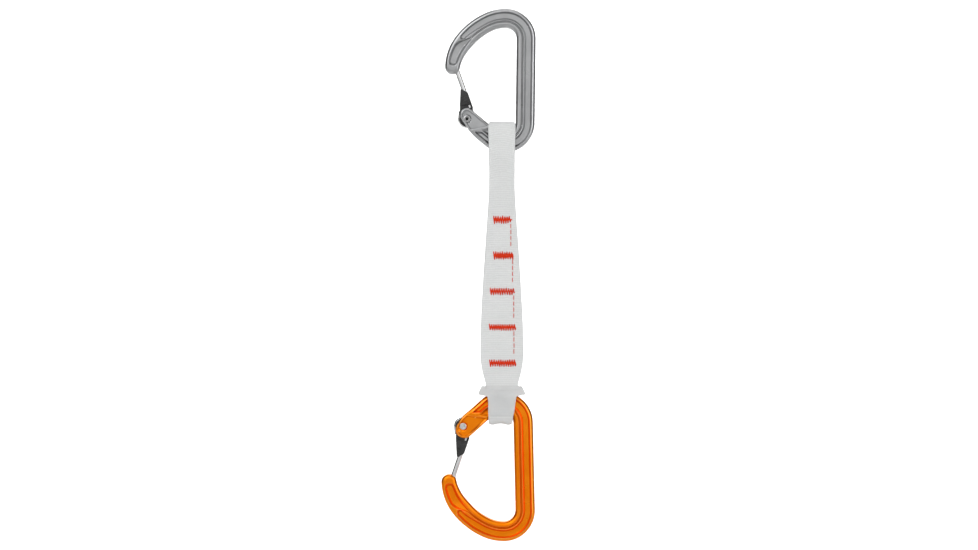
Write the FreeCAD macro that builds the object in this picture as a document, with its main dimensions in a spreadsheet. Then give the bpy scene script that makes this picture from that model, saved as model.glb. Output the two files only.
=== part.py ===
"""Climbing quickdraw: two forged wiregate carabiners on a sewn sling, as a FreeCAD document.

The frame has its origin at the inner apex of the upper carabiner, where the anchor bears.
X runs from the gate to the spine, Y through the thickness, Z up. Millimetres throughout.
"""
import FreeCAD, Part
import math
import os
import Sketcher

V = FreeCAD.Vector
DOC = FreeCAD.newDocument("quickdraw")

# alias, value, what it is
DIMENSIONS = [
    ("upper_size", 1.0, "size of the upper carabiner over the drawn one"),
    ("lower_size", 1.03, "size of the lower carabiner over the drawn one"),
    ("lower_shift", -0.95, "X of the lower carabiner's apex"),
    ("lower_drop", 310.6, "distance between the two inner apexes"),
    ("lower_tilt", -0.6, "lean of the lower carabiner in its keeper, degrees"),
    ("bar_depth", 12.0, "depth of the forged bar in the carabiner's plane"),
    ("bar_thickness", 8.6, "thickness of the forged bar across that plane"),
    ("bar_round", 2.2, "rounding of the bar's long edges"),
    ("corner_radius", 19.0, "outside radius of both spine corners"),
    ("upper_spine", 52.5, "straight part of the upper carabiner's spine, before sizing"),
    ("lower_spine", 53.2, "the same for the lower one"),
    ("spine_lean", 0.7, "lean of the spine, degrees"),
    ("crown_radius", 31.6, "outside radius beside the apex"),
    ("crown_turn", 25.0, "its turn, degrees"),
    ("hood_radius", 48.7, "outside radius of the flatter stretch"),
    ("hood_turn", 26.0, "its turn, degrees"),
    ("nose_radius", 33.5, "outside radius towards the nose"),
    ("nose_turn", 37.0, "its turn, degrees"),
    ("nose_tip", 4.7, "radius of the nose's end"),
    ("upper_arm_angle", 39.2, "rise of the upper hinge arm, degrees"),
    ("lower_arm_angle", 41.0, "rise of the lower hinge arm, degrees"),
    ("upper_arm", 18.8, "straight part of the upper hinge arm"),
    ("lower_arm", 18.2, "straight part of the lower hinge arm"),
    ("pivot_lead", 0.8, "rivet beyond the straight part of the arm"),
    ("upper_ear", 4.1, "radius of the upper arm's end"),
    ("lower_ear", 4.8, "radius of the lower arm's end"),
    ("upper_ear_lead", 2.55, "centre of that end beyond the straight part of the upper arm"),
    ("lower_ear_lead", 1.5, "the same for the lower arm"),
    ("upper_flank", 40.0, "radius that brings the upper arm's outside in to its end"),
    ("lower_flank", 12.0, "the same for the lower arm"),
    ("upper_pivot_offset", 0.3, "rivet outside the middle of the upper arm"),
    ("lower_pivot_offset", 1.3, "rivet outside the middle of the lower arm"),
    ("channel_rim", 2.4, "width of the rim outside the channel"),
    ("channel_floor", 4.7, "width of the channel"),
    ("channel_depth", 2.9, "depth of the channel"),
    ("channel_nose_turn", 8.0, "how far the channel runs round the nose arc, degrees"),
    ("channel_arm", 8.5, "how far the channel runs up the hinge arm"),
    ("ledge_width", 1.2, "width of the ledge inside the channel"),
    ("ledge_depth", 1.1, "depth of the ledge"),
    ("fork_gap", 4.4, "gap between the two ears"),
    ("fork_radius", 9.4, "reach of the gap from the rivet"),
    ("panel_radius", 3.45, "radius of the sunk panel round the rivet"),
    ("panel_shift", 1.25, "middle of the panel inside the rivet"),
    ("panel_depth", 0.7, "depth of that panel"),
    ("panel_length", 8.0, "its length along the arm"),
    ("rivet_radius", 1.5, "rivet shank"),
    ("rivet_head", 2.15, "radius of the rivet's heads"),
    ("rivet_rise", 0.75, "height of the rivet's heads"),
    ("rivet_bore", 0.95, "hollow of the rolled end"),
    ("bush_radius", 1.95, "outside radius of the steel bush"),
    ("hub_radius", 2.4, "outside radius of the gate's plastic hub"),
    ("wire_radius", 1.5, "gate wire"),
    ("eye_radius", 4.15, "centreline of the wire's eye round the rivet"),
    ("wire_angle", 19.3, "lean of the closed gate from the vertical, degrees"),
    ("wire_length", 33.5, "wire from the eye to its head"),
    ("wire_tail", 4.5, "straight tail of the wire"),
    ("eye_turn", 206.0, "turn of the wire round the rivet, degrees"),
    ("wire_head", 2.3, "radius of the wire's upset head"),
    ("wire_head_rise", 1.4, "its height"),
    ("slot_width", 3.6, "nose slot for the wire"),
    ("undercut_width", 5.3, "nose slot for the wire's head"),
    ("cover_top", 18.6, "top of the gate cover above the rivet, along the gate"),
    ("cover_thickness", 5.4, "gate cover above the ears"),
    ("cover_tongue", 3.7, "gate cover between the ears"),
    ("cover_shoulder", 9.8, "radius from the rivet where the cover thins"),
    ("spring_wire", 0.25, "radius of the torsion springs' wire"),
    ("spring_coil", 2.95, "mean radius of their coil"),
    ("spring_offset", 1.86, "their distance from the mid plane"),
    ("spring_leg", 3.2, "their leg"),
    ("webbing", 1.2, "thickness of one layer of webbing"),
    ("sling_axis", -2.3, "X of the sling's middle"),
    ("sling_end_width", 15.8, "webbing width at the upper loop"),
    ("sling_wide", 27.0, "webbing width at its widest"),
    ("upper_loop_top", -59.1, "outside of the upper loop"),
    ("upper_loop_half", 4.7, "half the space inside the upper loop"),
    ("loop_corner", 2.5, "inside radius where the webbing turns over the upper bar"),
    ("upper_bar_middle", -71.7, "height of the upper bar's middle"),
    ("legs_end", -118.3, "where the two legs of the upper loop join"),
    ("body_end", -221.0, "where the sewn body ends"),
    ("lower_loop_half", 5.1, "half the space inside the lower loop"),
    ("lower_bar_top", -229.3, "top of the lower bar"),
    ("lower_loop_bottom", -248.5, "outside of the lower loop"),
    ("keeper_wall", 1.2, "wall of the rubber keeper"),
    ("keeper_top", -225.8, "top of the keeper"),
    ("keeper_mouth", 10.2, "half the width of the keeper's mouth"),
    ("keeper_wing", 14.8, "half the span of the keeper's wings"),
    ("keeper_foot_width", 13.0, "keeper width at its foot"),
    ("tack_first", -120.8, "height of the first bar tack"),
    ("tack_pitch", 22.55, "spacing of the bar tacks"),
    ("tack_height", 4.0, "height of a bar tack"),
    ("tack_rise", 0.35, "how far thread stands off the webbing"),
]

TACK_SPANS = [(-5.2, 6.2), (-5.2, 7.5), (-7.4, 7.9), (-7.9, 8.6), (-7.8, 8.6)]
STITCH_LINES = [5.6, 6.7, 7.5, 7.6]


# ---------------------------------------------------------------- document helpers

def make_sheet():
    """The spreadsheet of driving dimensions."""
    made = DOC.addObject("Spreadsheet::Sheet", "dims")
    for row, (alias, value, meaning) in enumerate(DIMENSIONS, start=1):
        made.set(f"A{row}", alias)
        made.set(f"B{row}", str(value))
        made.set(f"C{row}", meaning)
        made.setAlias(f"B{row}", alias)
    DOC.recompute()
    return made


SHEET = make_sheet()


def dim(alias):
    """One cell of the sheet as a plain number."""
    return float(SHEET.get(alias))


def bind(obj, prop, expression):
    """Binds a property to the sheet: names of cells are written bare in the expression."""
    words = []
    for word in expression.replace("(", " ( ").replace(")", " ) ").split():
        known = any(word == alias for alias, _, _ in DIMENSIONS)
        words.append(f"dims.{word}" if known else word)
    obj.setExpression(prop, " ".join(words))


def plane_of(body, role):
    return next(o for o in body.Origin.OriginFeatures if o.Role == role)


class Outline:
    """A closed or open outline drawn by walking: straight runs, and arcs given by radius and turn.

    The heading is in degrees from +X towards the second axis, and a positive turn is to the left.
    """

    def __init__(self, start, heading):
        self.at = V(start[0], start[1], 0)
        self.start = V(self.at)
        self.heading = heading
        self.edges = []
        self.bound = []

    def step(self, length, size_name=None):
        a = math.radians(self.heading)
        end = self.at + V(math.cos(a), math.sin(a), 0) * length
        self.edges.append(Part.LineSegment(V(self.at), V(end)))
        self.bound.append(size_name)
        self.at = end
        return self

    def to(self, x, y):
        end = V(x, y, 0)
        self.edges.append(Part.LineSegment(V(self.at), end))
        self.bound.append(None)
        self.at = end
        return self

    def arc(self, radius, turn, size_name=None):
        side = 1.0 if turn > 0 else -1.0
        a = math.radians(self.heading)
        centre = self.at + V(-math.sin(a), math.cos(a), 0) * (side * radius)
        first = math.atan2(self.at.y - centre.y, self.at.x - centre.x)
        last = first + math.radians(turn)
        low, high = (first, last) if turn > 0 else (last, first)
        circle = Part.Circle(centre, V(0, 0, 1), radius)
        self.edges.append(Part.ArcOfCircle(circle, low, high))
        self.bound.append(size_name)
        self.at = centre + V(math.cos(last), math.sin(last), 0) * radius
        self.heading += turn
        return self

    def close(self):
        return self.to(self.start.x, self.start.y)


def draw(sketch, outline):
    """Puts an outline into a sketch, joins its corners and binds the named radii and lengths."""
    offset = sketch.GeometryCount
    sketch.addGeometry(outline.edges, False)
    for i, (edge, size_name) in enumerate(zip(outline.edges, outline.bound)):
        if not size_name:
            continue
        if isinstance(edge, Part.ArcOfCircle):
            index = sketch.addConstraint(Sketcher.Constraint("Radius", offset + i, edge.Radius))
        else:
            index = sketch.addConstraint(Sketcher.Constraint("Distance", offset + i, edge.length()))
        bind(sketch, f"Constraints[{index}]", size_name)
    return sketch


def new_body(label, placement=None):
    body = DOC.addObject("PartDesign::Body", label)
    body.Label = label
    if placement:
        body.Placement = placement
    return body


def sketch_on(body, name, role="XZ_Plane", lift=0.0):
    """A sketch on one of the body's own planes, lifted along the plane's normal."""
    sketch = body.newObject("Sketcher::SketchObject", name)
    sketch.AttachmentSupport = [(plane_of(body, role), "")]
    sketch.MapMode = "FlatFace"
    sketch.AttachmentOffset = FreeCAD.Placement(V(0, 0, lift), FreeCAD.Rotation())
    return sketch


def pad(body, sketch, length):
    """A pad centred on its sketch."""
    made = body.newObject("PartDesign::Pad", sketch.Name + "_pad")
    made.Profile = sketch
    made.Midplane = True
    bind(made, "Length", length)
    DOC.recompute()
    return made


def pocket(body, sketch, depth, centred=False, reverse=False):
    """A pocket that has to remove material."""
    before = body.Shape.Volume
    made = body.newObject("PartDesign::Pocket", sketch.Name + "_pocket")
    made.Profile = sketch
    made.Midplane = centred
    made.Reversed = reverse
    bind(made, "Length", depth)
    DOC.recompute()
    if not body.Shape.Volume < before - 1e-3:
        raise RuntimeError(f"{made.Name} cuts nothing")
    return made


def fillet(body, feature, edges, radius):
    made = body.newObject("PartDesign::Fillet", feature.Name + "_round")
    made.Base = (feature, edges)
    bind(made, "Radius", radius)
    DOC.recompute()
    return made


def circle_sketch(body, name, centre, radius_name, radius, role="XZ_Plane", lift=0.0):
    sketch = sketch_on(body, name, role, lift)
    sketch.addGeometry(Part.Circle(V(centre[0], centre[1], 0), V(0, 0, 1), radius), False)
    index = sketch.addConstraint(Sketcher.Constraint("Radius", 0, radius))
    bind(sketch, f"Constraints[{index}]", radius_name)
    return sketch


# ---------------------------------------------------------------- carabiner

class Carabiner:
    """One carabiner in its own frame: origin at the inner apex, spine at +X, hinge arm below."""

    def __init__(self, prefix, placement):
        self.prefix = prefix
        self.size = f"{prefix}_size"
        self.k = dim(self.size)
        self.placement = placement
        self.spine = f"{prefix}_spine"
        self.arm_angle = dim(f"{prefix}_arm_angle")
        arm = math.radians(self.arm_angle)
        lean = math.radians(dim("spine_lean"))
        self.corner = V(0, (dim("bar_depth") - dim("corner_radius")) * self.k, 0)
        self.low_corner = self.corner + V(-math.sin(lean), -math.cos(lean), 0) * self.mm(self.spine)
        middle = self.mm("corner_radius") - self.mm("bar_depth") / 2
        self.arm_way = V(-math.cos(arm), math.sin(arm), 0)
        out = V(-math.sin(arm), -math.cos(arm), 0)
        self.arm_run = f"{prefix}_arm"
        reach = self.mm(self.arm_run) + self.mm("pivot_lead")
        offset = self.mm(f"{prefix}_pivot_offset")
        self.pivot = self.low_corner + out * (middle + offset) + self.arm_way * reach
        tilt = math.radians(dim("wire_angle"))
        self.gate_way = V(-math.sin(tilt), math.cos(tilt), 0)
        self.gate_side = V(math.cos(tilt), math.sin(tilt), 0)

    def mm(self, alias):
        """A cell's length at this carabiner's size."""
        return dim(alias) * self.k

    def sized(self, expression):
        """A cell expression at this carabiner's size, for binding."""
        return f"( {expression} ) * {self.size}"

    def gate_point(self, side, along):
        """A point given by its distances across and along the closed gate, from the rivet."""
        return self.pivot + self.gate_side * (side * self.k) + self.gate_way * (along * self.k)

    def gate_polygon(self, corners):
        """A closed outline whose corners are given across and along the closed gate."""
        points = [self.gate_point(*corner) for corner in corners]
        return polygon([(point.x, point.y) for point in points])

    def in_space(self, point, y=0.0):
        """From the carabiner's plane to the document's axes."""
        return V(point.x, y, point.y)

    def bar_band(self, outer, inner, nose_turn, arm_run):
        """A closed band that follows the bar, between two distances from its outside edge."""
        k = self.k
        crown, hood, nose = dim("crown_radius"), dim("hood_radius"), dim("nose_radius")
        corner, lean = dim("corner_radius"), dim("spine_lean")
        turn_low = 90 - lean + self.arm_angle
        cap = (inner - outer) / 2 * k
        walk = Outline((0, (dim("bar_depth") - outer) * k), 180)
        walk.arc((crown - outer) * k, dim("crown_turn"), self.sized(f"crown_radius - {outer}"))
        walk.arc((hood - outer) * k, dim("hood_turn"), self.sized(f"hood_radius - {outer}"))
        walk.arc((nose - outer) * k, nose_turn)
        walk.arc(cap, 180)
        walk.arc((nose - inner) * k, -nose_turn)
        walk.arc((hood - inner) * k, -dim("hood_turn"))
        walk.arc((crown - inner) * k, -dim("crown_turn"))
        walk.arc((corner - inner) * k, -(90 + lean), self.sized(f"corner_radius - {inner}"))
        walk.step(self.mm(self.spine))
        walk.arc((corner - inner) * k, -turn_low)
        walk.step(arm_run * k)
        walk.arc(cap, 180)
        walk.step(arm_run * k)
        walk.arc((corner - outer) * k, turn_low)
        walk.step(self.mm(self.spine))
        walk.arc((corner - outer) * k, 90 + lean, self.sized(f"corner_radius - {outer}"))
        return walk

    def outline(self):
        """The forged bar's own outline, from the nose round to the hinge end and back."""
        k = self.k
        depth, tip = dim("bar_depth"), dim("nose_tip")
        crown, hood, nose = dim("crown_radius"), dim("hood_radius"), dim("nose_radius")
        corner, lean = dim("corner_radius"), dim("spine_lean")
        turn_low = 90 - lean + self.arm_angle
        walk = Outline((0, depth * k), 180)
        walk.arc(crown * k, dim("crown_turn"), self.sized("crown_radius"))
        walk.arc(hood * k, dim("hood_turn"), self.sized("hood_radius"))
        hood_end = V(walk.at)
        bent = math.radians(walk.heading)
        inward = V(-math.sin(bent), math.cos(bent), 0)
        throat = hood_end + inward * (depth * k)
        walk.arc(nose * k, dim("nose_turn"), self.sized("nose_radius"))
        end = math.radians(walk.heading)
        self.tip = walk.at + V(-math.sin(end), math.cos(end), 0) * (tip * k)
        # the arc inside the nose leaves the throat along the bar and meets the tip's circle
        gap = self.tip - throat
        r = tip * k
        throat_radius = (gap.dot(gap) - r * r) / (2 * (r + gap.dot(inward)))
        centre = throat + inward * throat_radius
        meet = (self.tip - centre).normalize()
        # heading on the way back up at the meeting point
        back = math.degrees(math.atan2(-meet.x, meet.y)) % 360
        walk.arc(r, (back - walk.heading) % 360, self.sized("nose_tip"))
        up = walk.heading % 360
        leave = (math.degrees(bent) - 180) % 360
        walk.arc(throat_radius, leave - up)
        walk.arc((hood - depth) * k, -dim("hood_turn"))
        walk.arc((crown - depth) * k, -dim("crown_turn"))
        walk.arc((corner - depth) * k, -(90 + lean), self.sized("corner_radius - bar_depth"))
        walk.step(self.mm(self.spine), self.sized(self.spine))
        walk.arc((corner - depth) * k, -turn_low)
        # the arm's end is a small arc towards the inside, met by a flatter one from the outside
        ear, lead, flank = (dim(f"{self.prefix}_{name}") for name in ("ear", "ear_lead", "flank"))
        reach = math.sqrt((flank - ear) ** 2 - (flank - depth + ear) ** 2)
        swing = math.degrees(math.asin(reach / (flank - ear)))
        run = dim(self.arm_run) + lead
        walk.step(run * k, self.sized(f"{self.arm_run} + {self.prefix}_ear_lead"))
        walk.arc(ear * k, 180 - swing, self.sized(f"{self.prefix}_ear"))
        walk.arc(flank * k, swing, self.sized(f"{self.prefix}_flank"))
        walk.step((run - reach) * k)
        walk.arc(corner * k, turn_low, self.sized("corner_radius"))
        walk.step(self.mm(self.spine))
        walk.arc(corner * k, 90 + lean)
        return walk

    def frame(self):
        """The forged frame: rounded bar, channels, ledges, fork, panels, rivet hole and nose slot."""
        body = new_body(f"{self.prefix}_frame")
        sketch = draw(sketch_on(body, f"{self.prefix}_outline"), self.outline())
        blank = pad(body, sketch, self.sized("bar_thickness"))
        half = self.mm("bar_thickness") / 2
        long_edges = [
            f"Edge{i}"
            for i, edge in enumerate(blank.Shape.Edges, start=1)
            if all(abs(abs(v.Point.y) - half) < 1e-6 for v in edge.Vertexes)
            and abs(abs(edge.valueAt(edge.FirstParameter).y) - half) < 1e-6
        ]
        fillet(body, blank, long_edges, self.sized("bar_round"))
        rim, floor = dim("channel_rim"), dim("channel_floor")
        bands = [
            ("channel", rim, rim + floor, "channel_depth", dim("channel_arm")),
            ("ledge", rim + floor - 0.1, rim + floor + dim("ledge_width"), "ledge_depth", dim("channel_arm")),
        ]
        for name, outer, inner, depth, arm_run in bands:
            for face, lift, reverse in (("front", half, False), ("back", -half, True)):
                band = self.bar_band(outer, inner, dim("channel_nose_turn"), arm_run)
                cut = sketch_on(body, f"{self.prefix}_{name}_{face}", lift=lift)
                draw(cut, band)
                pocket(body, cut, self.sized(depth), reverse=reverse)
        self.cut_fork(body, half)
        self.cut_nose(body)
        body.Placement = self.placement
        return body

    def cut_fork(self, body, half):
        """The gap for the gate, the sunk panels on the ears and the rivet's hole."""
        centre = (self.pivot.x, self.pivot.y)
        gap = circle_sketch(body, f"{self.prefix}_fork", centre,
                            self.sized("fork_radius"), self.mm("fork_radius"))
        pocket(body, gap, self.sized("fork_gap"), centred=True)
        r = self.mm("panel_radius")
        heading = -self.arm_angle
        side = V(self.arm_way.y, -self.arm_way.x, 0)
        for face, lift, reverse in (("front", half, False), ("back", -half, True)):
            start = self.pivot + side * (self.mm("panel_shift") - r)
            walk = Outline((start.x, start.y), heading)
            walk.step(self.mm("panel_length")).arc(r, 180).step(self.mm("panel_length")).arc(r, 180)
            panel = draw(sketch_on(body, f"{self.prefix}_panel_{face}", lift=lift), walk)
            pocket(body, panel, self.sized("panel_depth"), reverse=reverse)
        hole = circle_sketch(body, f"{self.prefix}_rivet_hole", centre,
                             self.sized("rivet_radius"), self.mm("rivet_radius"))
        pocket(body, hole, self.sized("bar_thickness * 2"), centred=True)

    def cut_nose(self, body):
        """The slot that takes the wire, and its wider head, open towards the inside."""
        eye, wire, length = dim("eye_radius"), dim("wire_radius"), dim("wire_length")
        left = eye - wire - 0.3
        spans = [
            ("slot", left, length - 9.0, length + 0.7, "slot_width"),
            ("undercut", eye - dim("wire_head") - 0.3, length - 2.9, length + 0.7, "undercut_width"),
        ]
        for name, near, low, high, width in spans:
            outline = self.gate_polygon([(near, low), (eye + 12, low), (eye + 12, high), (near, high)])
            sketch = draw(sketch_on(body, f"{self.prefix}_nose_{name}"), outline)
            pocket(body, sketch, self.sized(width), centred=True)

    def wire_path(self, name):
        """The gate wire's centreline, from its head down, round the rivet and up its tail."""
        top = self.gate_point(dim("eye_radius"), dim("wire_length"))
        heading = 270 + dim("wire_angle")
        walk = Outline((top.x, top.y), heading)
        walk.step(self.mm("wire_length"))
        walk.arc(self.mm("eye_radius"), -dim("eye_turn"))
        walk.step(self.mm("wire_tail"))
        path = DOC.addObject("Sketcher::SketchObject", name)
        path.Placement = FreeCAD.Placement(V(0, 0, 0), FreeCAD.Rotation(V(1, 0, 0), 90))
        draw(path, walk)
        DOC.recompute()
        return path, top

    def wire_sweep(self, name, radius_name, radius):
        path, top = self.wire_path(name + "_path")
        ring = DOC.addObject("Part::Circle", name + "_section")
        bind(ring, "Radius", radius_name)
        way = self.in_space(self.gate_way)
        ring.Placement = FreeCAD.Placement(self.in_space(top), FreeCAD.Rotation(V(0, 0, 1), way))
        sweep = DOC.addObject("Part::Sweep", name + "_sweep")
        sweep.Sections = [ring]
        sweep.Spine = (path, [f"Edge{i + 1}" for i in range(3)])
        sweep.Solid = True
        sweep.Frenet = False
        DOC.recompute()
        return sweep, top

    def gate_wire(self):
        """Spring-steel wire with an upset head that locks in the nose."""
        label = f"{self.prefix}_gate_wire"
        sweep, top = self.wire_sweep(label, self.sized("wire_radius"), self.mm("wire_radius"))
        head = DOC.addObject("Part::Cylinder", label + "_head")
        bind(head, "Radius", self.sized("wire_head"))
        bind(head, "Height", self.sized("wire_head_rise"))
        foot = top - self.gate_way * self.mm("wire_head_rise")
        way = self.in_space(self.gate_way)
        head.Placement = FreeCAD.Placement(self.in_space(foot), FreeCAD.Rotation(V(0, 0, 1), way))
        rounded = DOC.addObject("Part::Fillet", label + "_head_round")
        rounded.Base = head
        DOC.recompute()
        rings = [i for i, e in enumerate(head.Shape.Edges, start=1) if e.Curve.TypeId == "Part::GeomCircle"]
        rounded.Edges = [(i, 0.45 * self.k, 0.45 * self.k) for i in rings]
        whole = DOC.addObject("Part::MultiFuse", label)
        whole.Shapes = [sweep, rounded]
        DOC.recompute()
        whole.Label = label
        whole.Placement = self.placement
        return whole

    def gate_cover(self):
        """Moulded wedge that fills the gate between the wire and its tail, and bears on the bush."""
        label = f"{self.prefix}_gate_cover"
        body = new_body(label + "_blank")
        eye, wire = dim("eye_radius"), dim("wire_radius")
        top = dim("cover_top")
        right = eye + wire + 0.35
        # the wedge seen from the front, in gate coordinates
        wedge = [(right, 5.4), (right, top - 2.2), (right - 1.2, top - 1.0),
                 (eye - wire - 0.9, top + 0.3), (-4.6, 3.5), (-4.8, 0.5), (1.9, 0.5)]
        tongue = draw(sketch_on(body, label + "_tongue"), self.gate_polygon(wedge))
        pad(body, tongue, self.sized("cover_tongue"))
        shoulder = dim("cover_shoulder")
        broad = [(right, shoulder - 2.2), (right, top - 2.2), (right - 1.2, top - 1.0),
                 (eye - wire - 0.9, top + 0.3), (-2.3, shoulder - 0.6)]
        cap = draw(sketch_on(body, label + "_broad"), self.gate_polygon(broad))
        pad(body, cap, self.sized("cover_thickness"))
        centre = (self.pivot.x, self.pivot.y)
        hub = circle_sketch(body, label + "_hub", centre, self.sized("hub_radius"), self.mm("hub_radius"))
        pad(body, hub, self.sized("cover_tongue - 0.8"))
        bore = circle_sketch(body, label + "_bore", centre, self.sized("bush_radius + 0.05"),
                             self.mm("bush_radius") + 0.05 * self.k)
        pocket(body, bore, self.sized("cover_thickness * 2"), centred=True)
        room, _ = self.wire_sweep(label + "_room", self.sized("wire_radius"), self.mm("wire_radius"))
        rings = DOC.addObject("Part::Cylinder", label + "_spring_room")
        bind(rings, "Radius", self.sized("spring_coil + spring_wire + 0.15"))
        bind(rings, "Height", self.sized("fork_gap * 2"))
        across = FreeCAD.Rotation(V(0, 0, 1), V(0, -1, 0))
        rings.Placement = FreeCAD.Placement(self.in_space(self.pivot, self.mm("fork_gap")), across)
        core = DOC.addObject("Part::Cylinder", label + "_spring_core")
        bind(core, "Radius", self.sized("hub_radius"))
        bind(core, "Height", self.sized("fork_gap * 2"))
        core.Placement = rings.Placement
        middle = DOC.addObject("Part::Box", label + "_spring_middle")
        side = 20.0 * self.k
        bind(middle, "Length", self.sized("20"))
        bind(middle, "Width", self.sized("spring_offset * 2 - spring_wire * 2 - 0.2"))
        bind(middle, "Height", self.sized("20"))
        width = (dim("spring_offset") * 2 - dim("spring_wire") * 2 - 0.2) * self.k
        middle.Placement.Base = self.in_space(self.pivot) - V(side / 2, width / 2, side / 2)
        grooves = DOC.addObject("Part::Cut", label + "_grooves_a")
        grooves.Base, grooves.Tool = rings, core
        grooves_b = DOC.addObject("Part::Cut", label + "_grooves")
        grooves_b.Base, grooves_b.Tool = grooves, middle
        tools = DOC.addObject("Part::MultiFuse", label + "_tools")
        tools.Shapes = [room, grooves_b]
        cut = DOC.addObject("Part::Cut", label)
        cut.Base, cut.Tool = body, tools
        DOC.recompute()
        cut.Label = label
        cut.Placement = self.placement
        return cut

    def turned_on_rivet(self, label, half_profile):
        """A piece turned about the rivet's axis; the profile is (radius, y) points."""
        body = new_body(label)
        sketch = sketch_on(body, label + "_profile", role="XY_Plane")
        walk = Outline(half_profile[0], 0)
        for radius, y in half_profile[1:]:
            walk.to(radius, y)
        draw(sketch, walk.close())
        turned = body.newObject("PartDesign::Revolution", label + "_turned")
        turned.Profile = sketch
        turned.ReferenceAxis = (sketch, ["V_Axis"])
        turned.Angle = 360
        DOC.recompute()
        here = FreeCAD.Placement(self.in_space(self.pivot), FreeCAD.Rotation())
        body.Placement = self.placement.multiply(here)
        return body

    def rivet(self):
        """Hollow-ended rivet: rolled over on the front ear, domed on the back ear."""
        k = self.k
        r, head, rise, bore = (dim(a) * k for a in ("rivet_radius", "rivet_head", "rivet_rise", "rivet_bore"))
        seat = (dim("bar_thickness") / 2 - dim("panel_depth")) * k
        deep = 1.6 * k
        points = [
            (0.0, -seat + deep - rise), (bore, -seat + deep - rise), (bore, -seat - rise * 0.8),
            (bore + 0.25 * k, -seat - rise), (head - 0.4 * k, -seat - rise), (head, -seat - rise * 0.45),
            (head, -seat), (r, -seat), (r, seat), (head, seat), (head, seat + rise * 0.45),
            (head * 0.72, seat + rise * 0.9), (head * 0.3, seat + rise), (0.0, seat + rise),
        ]
        return self.turned_on_rivet(f"{self.prefix}_gate_rivet", points)

    def bush(self):
        """Steel sleeve that spaces the ears and carries the gate."""
        half = (dim("fork_gap") / 2 - 0.02) * self.k
        inner, outer = (dim("rivet_radius") + 0.02) * self.k, self.mm("bush_radius")
        points = [(inner, -half), (outer, -half), (outer, half), (inner, half)]
        return self.turned_on_rivet(f"{self.prefix}_gate_bush", points)

    def springs(self):
        """Pair of torsion springs beside the wire's eye, each with a leg along the arm."""
        label = f"{self.prefix}_gate_springs"
        parts = []
        for face, side in (("front", -1.0), ("back", 1.0)):
            y = side * self.mm("spring_offset")
            coil = DOC.addObject("Part::Torus", f"{label}_{face}_coil")
            bind(coil, "Radius1", self.sized("spring_coil"))
            bind(coil, "Radius2", self.sized("spring_wire"))
            centre = self.in_space(self.pivot, y)
            coil.Placement = FreeCAD.Placement(centre, FreeCAD.Rotation(V(0, 0, 1), V(0, 1, 0)))
            leg = DOC.addObject("Part::Cylinder", f"{label}_{face}_leg")
            bind(leg, "Radius", self.sized("spring_wire"))
            bind(leg, "Height", self.sized("spring_leg"))
            way = self.in_space(self.arm_way * -1)
            foot = centre + way * self.mm("spring_coil")
            leg.Placement = FreeCAD.Placement(foot, FreeCAD.Rotation(V(0, 0, 1), way))
            both = DOC.addObject("Part::Fuse", f"{label}_{face}")
            both.Base, both.Tool = coil, leg
            parts.append(both)
        pair = DOC.addObject("Part::Compound", label)
        pair.Links = parts
        DOC.recompute()
        pair.Label = label
        pair.Placement = self.placement
        return pair

    def make(self):
        return [self.frame(), self.gate_wire(), self.gate_cover(), self.springs(), self.bush(), self.rivet()]


# ---------------------------------------------------------------- sling and keeper

def side_solid(label, corners, span=60.0):
    """A solid drawn in side view, Y across and Z up, and as wide as span along X."""
    body = new_body(label + "_side")
    sketch = sketch_on(body, label + "_side_view", role="YZ_Plane")
    for outline in corners:
        draw(sketch, outline)
    made = body.newObject("PartDesign::Pad", label + "_side_pad")
    made.Profile = sketch
    made.Midplane = True
    made.Length = span
    DOC.recompute()
    return body


def front_solid(label, outline, span=40.0):
    """A solid drawn in front view, X across and Z up, and as thick as span along Y."""
    body = new_body(label + "_front")
    draw(sketch_on(body, label + "_front_view"), outline)
    made = body.newObject("PartDesign::Pad", label + "_front_pad")
    made.Profile = body.Group[0]
    made.Midplane = True
    made.Length = span
    DOC.recompute()
    return body


def polygon(points):
    walk = Outline(points[0], 0)
    for x, y in points[1:]:
        walk.to(x, y)
    return walk.close()


def mirrored(half_widths, axis):
    """A closed outline from (half width, height) pairs, the same on both sides of the axis."""
    right = [(axis + w, z) for w, z in half_widths]
    left = [(axis - w, z) for w, z in reversed(half_widths)]
    return polygon(right + left)


def webbing_front(label):
    """The webbing's outline from the front: narrow at the loops and wide at the last tacks."""
    end, wide = dim("sling_end_width") / 2, dim("sling_wide") / 2
    body_end, foot = dim("body_end"), dim("lower_loop_bottom")
    widths = [
        (end, dim("upper_loop_top") + 1), (end, -98.0), (wide * 0.82, -150.0), (wide * 0.975, -184.0),
        (wide, -206.0), (wide * 0.95, -214.0), (wide * 0.8, body_end),
        (dim("keeper_mouth"), dim("keeper_top")), (end - 0.4, -231.5),
        (dim("keeper_foot_width") / 2 - 0.6, foot - 1),
    ]
    return front_solid(label, mirrored(widths, dim("sling_axis")))


def common(label, a, b):
    made = DOC.addObject("Part::Common", label)
    made.Base, made.Tool = a, b
    DOC.recompute()
    made.Label = label
    return made


def arch(half, thickness, crown, foot, corner):
    """Side view of webbing bent over a bar: two straight sides, two rounded turns and a flat top."""
    outer = half + thickness
    turn = corner + thickness
    walk = Outline((outer, foot), 90)
    walk.step(crown - turn - foot).arc(turn, 90).step(2 * (outer - turn)).arc(turn, 90)
    walk.step(crown - turn - foot).to(-half, foot)
    walk.heading = 90
    walk.step(crown - turn - foot).arc(corner, -90).step(2 * (half - corner)).arc(corner, -90)
    walk.step(crown - turn - foot)
    return walk.close()


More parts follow.
